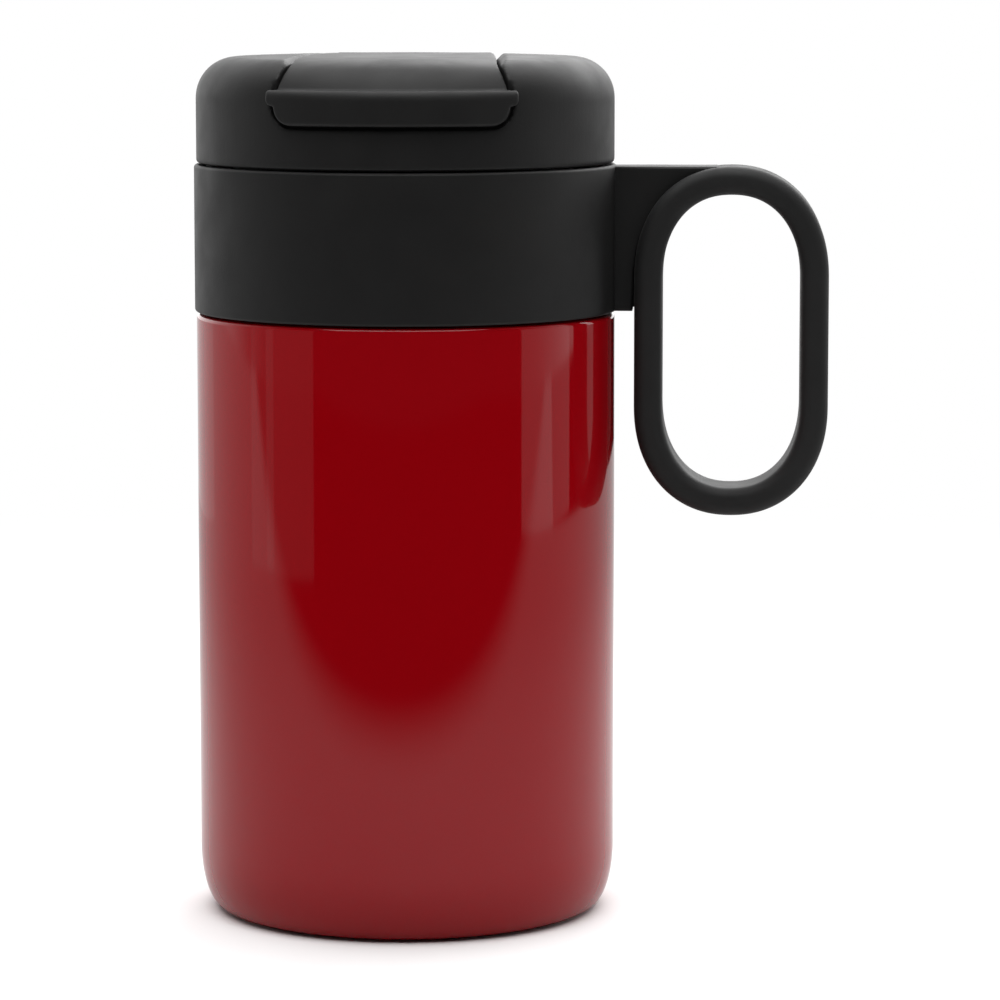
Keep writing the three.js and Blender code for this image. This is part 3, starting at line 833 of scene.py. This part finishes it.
def make_floor():
    """White paper that glows softly away from the mug, so that it runs into the white backdrop.

    Only the camera sees it at full brightness: the mug sees it dimmed.
    """
    paper = Nodes("floor_paper", (0.9, 0.9, 0.9), 0.8, Specular_IOR_Level=0.1)
    paper.tint(paper.noise(30, 3), (0.89, 0.89, 0.89), (0.91, 0.91, 0.91))
    paper.bump((paper.noise(700, 3), 1e-5))
    distance = paper.add("ShaderNodeVectorMath", operation="LENGTH")
    paper.link(paper.place, distance.inputs["Vector"])
    fade = paper.add("ShaderNodeMapRange", interpolation_type="SMOOTHSTEP")
    fade.inputs["From Min"].default_value = 0.1
    fade.inputs["From Max"].default_value = 0.55
    paper.link(distance.outputs["Value"], fade.inputs["Value"])
    glow = paper.add("ShaderNodeEmission")
    blend = paper.add("ShaderNodeMixShader")
    paper.link(fade.outputs["Result"], blend.inputs["Fac"])
    paper.link(paper.shader.outputs["BSDF"], blend.inputs[1])
    paper.link(glow.outputs["Emission"], blend.inputs[2])
    rays = paper.add("ShaderNodeLightPath")
    level = paper.add("ShaderNodeMapRange")
    level.inputs["To Min"].default_value = 0.67
    paper.link(rays.outputs["Is Camera Ray"], level.inputs["Value"])
    dimmed = paper.add("ShaderNodeMixShader")
    paper.link(level.outputs["Result"], dimmed.inputs["Fac"])
    paper.link(blend.outputs["Shader"], dimmed.inputs[2])
    paper.link(dimmed.outputs["Shader"], paper.tree.nodes["Material Output"].inputs["Surface"])
    staged("floor", [(-3, -3, 0), (3, -3, 0), (3, 3, 0), (-3, 3, 0)], [[0, 1, 2, 3]], paper.material)


def painted_reflection_shade(fade_from, fade_to):
    """Black sheet that paints dark reflections and is seen only in the gloss; it thins out towards the mug,
    along Y.
    """
    material = bpy.data.materials.new("painted_reflection_shade")
    material.use_nodes = True
    tree = material.node_tree
    # near-black colour of the painted reflection shade
    tree.nodes["Principled BSDF"].inputs["Base Color"].default_value = (0.002, 0.002, 0.002, 1.0)
    tree.nodes["Principled BSDF"].inputs["Specular IOR Level"].default_value = 0.0
    place = tree.nodes.new("ShaderNodeTexCoord")
    axes = tree.nodes.new("ShaderNodeSeparateXYZ")
    tree.links.new(place.outputs["Object"], axes.inputs["Vector"])
    ramp = tree.nodes.new("ShaderNodeMapRange")
    ramp.interpolation_type = "SMOOTHSTEP"
    ramp.inputs["From Min"].default_value = fade_from
    ramp.inputs["From Max"].default_value = fade_to
    tree.links.new(axes.outputs["Y"], ramp.inputs["Value"])
    tree.links.new(ramp.outputs["Result"], tree.nodes["Principled BSDF"].inputs["Alpha"])
    return material


def make_flags():
    """Black sheets on the floor, which only the gloss sees and which paint dark reflections into the mug:
    ahead of the mug, and far off to its right.
    """
    z, far = 0.0015, 3.0
    start, full = -0.17, -0.32  # the front flag thickens between these, along Y
    front = staged("front_flag", [(-far, -far, z), (far, -far, z), (far, start, z), (-far, start, z)],
                   [[0, 1, 2, 3]], painted_reflection_shade(start, full))
    near, steps = 0.78, 12
    turns = [math.radians(80 * i / steps) for i in range(steps + 1)]
    verts = [(r * math.cos(t), r * math.sin(t), z) for t in turns for r in (near, far)]
    faces = [[2 * i, 2 * i + 1, 2 * i + 3, 2 * i + 2] for i in range(steps)]
    side = staged("side_flag", verts, faces, painted_reflection_shade(0.0, 0.001))
    # the sheets are painted reflection shade: hidden from the camera, diffuse light and shadows, they only
    # darken what the mug reflects
    for flag in (front, side):
        flag.visible_camera = False
        flag.visible_diffuse = False
        flag.visible_shadow = False


def panel_light(name, place, target, size, radiance):
    """Rectangular soft light of a known brightness, out of the camera's sight."""
    light = bpy.data.lights.new(name, "AREA")
    light.shape = "RECTANGLE"
    light.size, light.size_y = size
    light.energy = radiance * math.pi * size[0] * size[1]
    made = bpy.data.objects.new(name, light)
    made.location = place
    aim = Vector(target) - Vector(place)
    made.rotation_euler = aim.to_track_quat("-Z", "Y").to_euler()
    made.visible_camera = False
    bpy.context.scene.collection.objects.link(made)


def standing_card(name, degrees, width_degrees, radiance, away=0.6, low=0.002, high=0.35):
    """Upright soft light beside the mug, placed by its direction, from -Y towards +X."""
    turn = math.radians(degrees)
    middle = (low + high) / 2
    width = 2 * away * math.tan(math.radians(width_degrees / 2))
    place = (away * math.sin(turn), -away * math.cos(turn), middle)
    panel_light(name, place, (0, 0, middle), (width, high - low), radiance)


def make_lights():
    panel_light("top_light", (0.0, -0.25, 1.1), (0, 0, 0), (1.3, 1.3), 3.25)
    panel_light("back_light", (0.45, 0.9, 0.75), (0, 0, 0.14), (1.2, 0.7), 2.5)
    standing_card("right_card", 85.7, 34.5, 0.55, away=0.78)
    standing_card("left_card", -148, 46, 0.15)
    standing_card("side_fill", -79, 16, 0.2)
    standing_card("left_fill", -61, 30, 0.22)
    standing_card("edge_strip", 122, 8, 0.33, low=0.02)


def make_world():
    """White for the camera. For everything else bright behind the mug and dim ahead of it."""
    world = bpy.data.worlds.new("studio")
    world.use_nodes = True
    bpy.context.scene.world = world
    tree = world.node_tree
    place = tree.nodes.new("ShaderNodeTexCoord")
    axes = tree.nodes.new("ShaderNodeSeparateXYZ")
    tree.links.new(place.outputs["Generated"], axes.inputs["Vector"])
    ramp = tree.nodes.new("ShaderNodeMapRange")
    ramp.interpolation_type = "SMOOTHSTEP"
    for socket, value in {"From Min": -0.3, "From Max": 0.8, "To Min": 0.04, "To Max": 1.7}.items():
        ramp.inputs[socket].default_value = value
    tree.links.new(axes.outputs["Y"], ramp.inputs["Value"])
    rays = tree.nodes.new("ShaderNodeLightPath")
    choice = tree.nodes.new("ShaderNodeMix")
    choice.inputs["B"].default_value = 1.0
    tree.links.new(rays.outputs["Is Camera Ray"], choice.inputs["Factor"])
    tree.links.new(ramp.outputs["Result"], choice.inputs["A"])
    tree.links.new(choice.outputs["Result"], tree.nodes["Background"].inputs["Strength"])
    tree.nodes["Background"].inputs["Color"].default_value = (1.0, 1.0, 1.0, 1.0)


def make_camera():
    distance, height, pitch = 0.7509, 0.1639, math.radians(7.061)
    round_by = math.radians(4.2)
    yaw = round_by - math.radians(1.238)
    data = bpy.data.cameras.new("camera")
    data.sensor_width = 36.0
    data.lens = 156.98
    data.clip_start, data.clip_end = 0.01, 20.0
    camera = bpy.data.objects.new("camera", data)
    camera.location = (distance * math.sin(round_by), -distance * math.cos(round_by), height)
    camera.rotation_euler = (math.pi / 2 - pitch, 0, yaw)
    bpy.context.scene.collection.objects.link(camera)
    bpy.context.scene.camera = camera


make_outer_shell()
make_inner_cup()
make_foot_pad()
make_base_plate()
make_neck_ring()
make_neck_gasket()
make_handle_loop()
make_collar()
make_lid_cap()
make_lid_plug()
make_lid_gasket()
make_hinge_pin()
make_flip_cap()
make_stoppers()
finish_hidden_nodes()
make_floor()
make_flags()
make_lights()
make_world()
make_camera()
bpy.context.scene.view_settings.view_transform = "Standard"
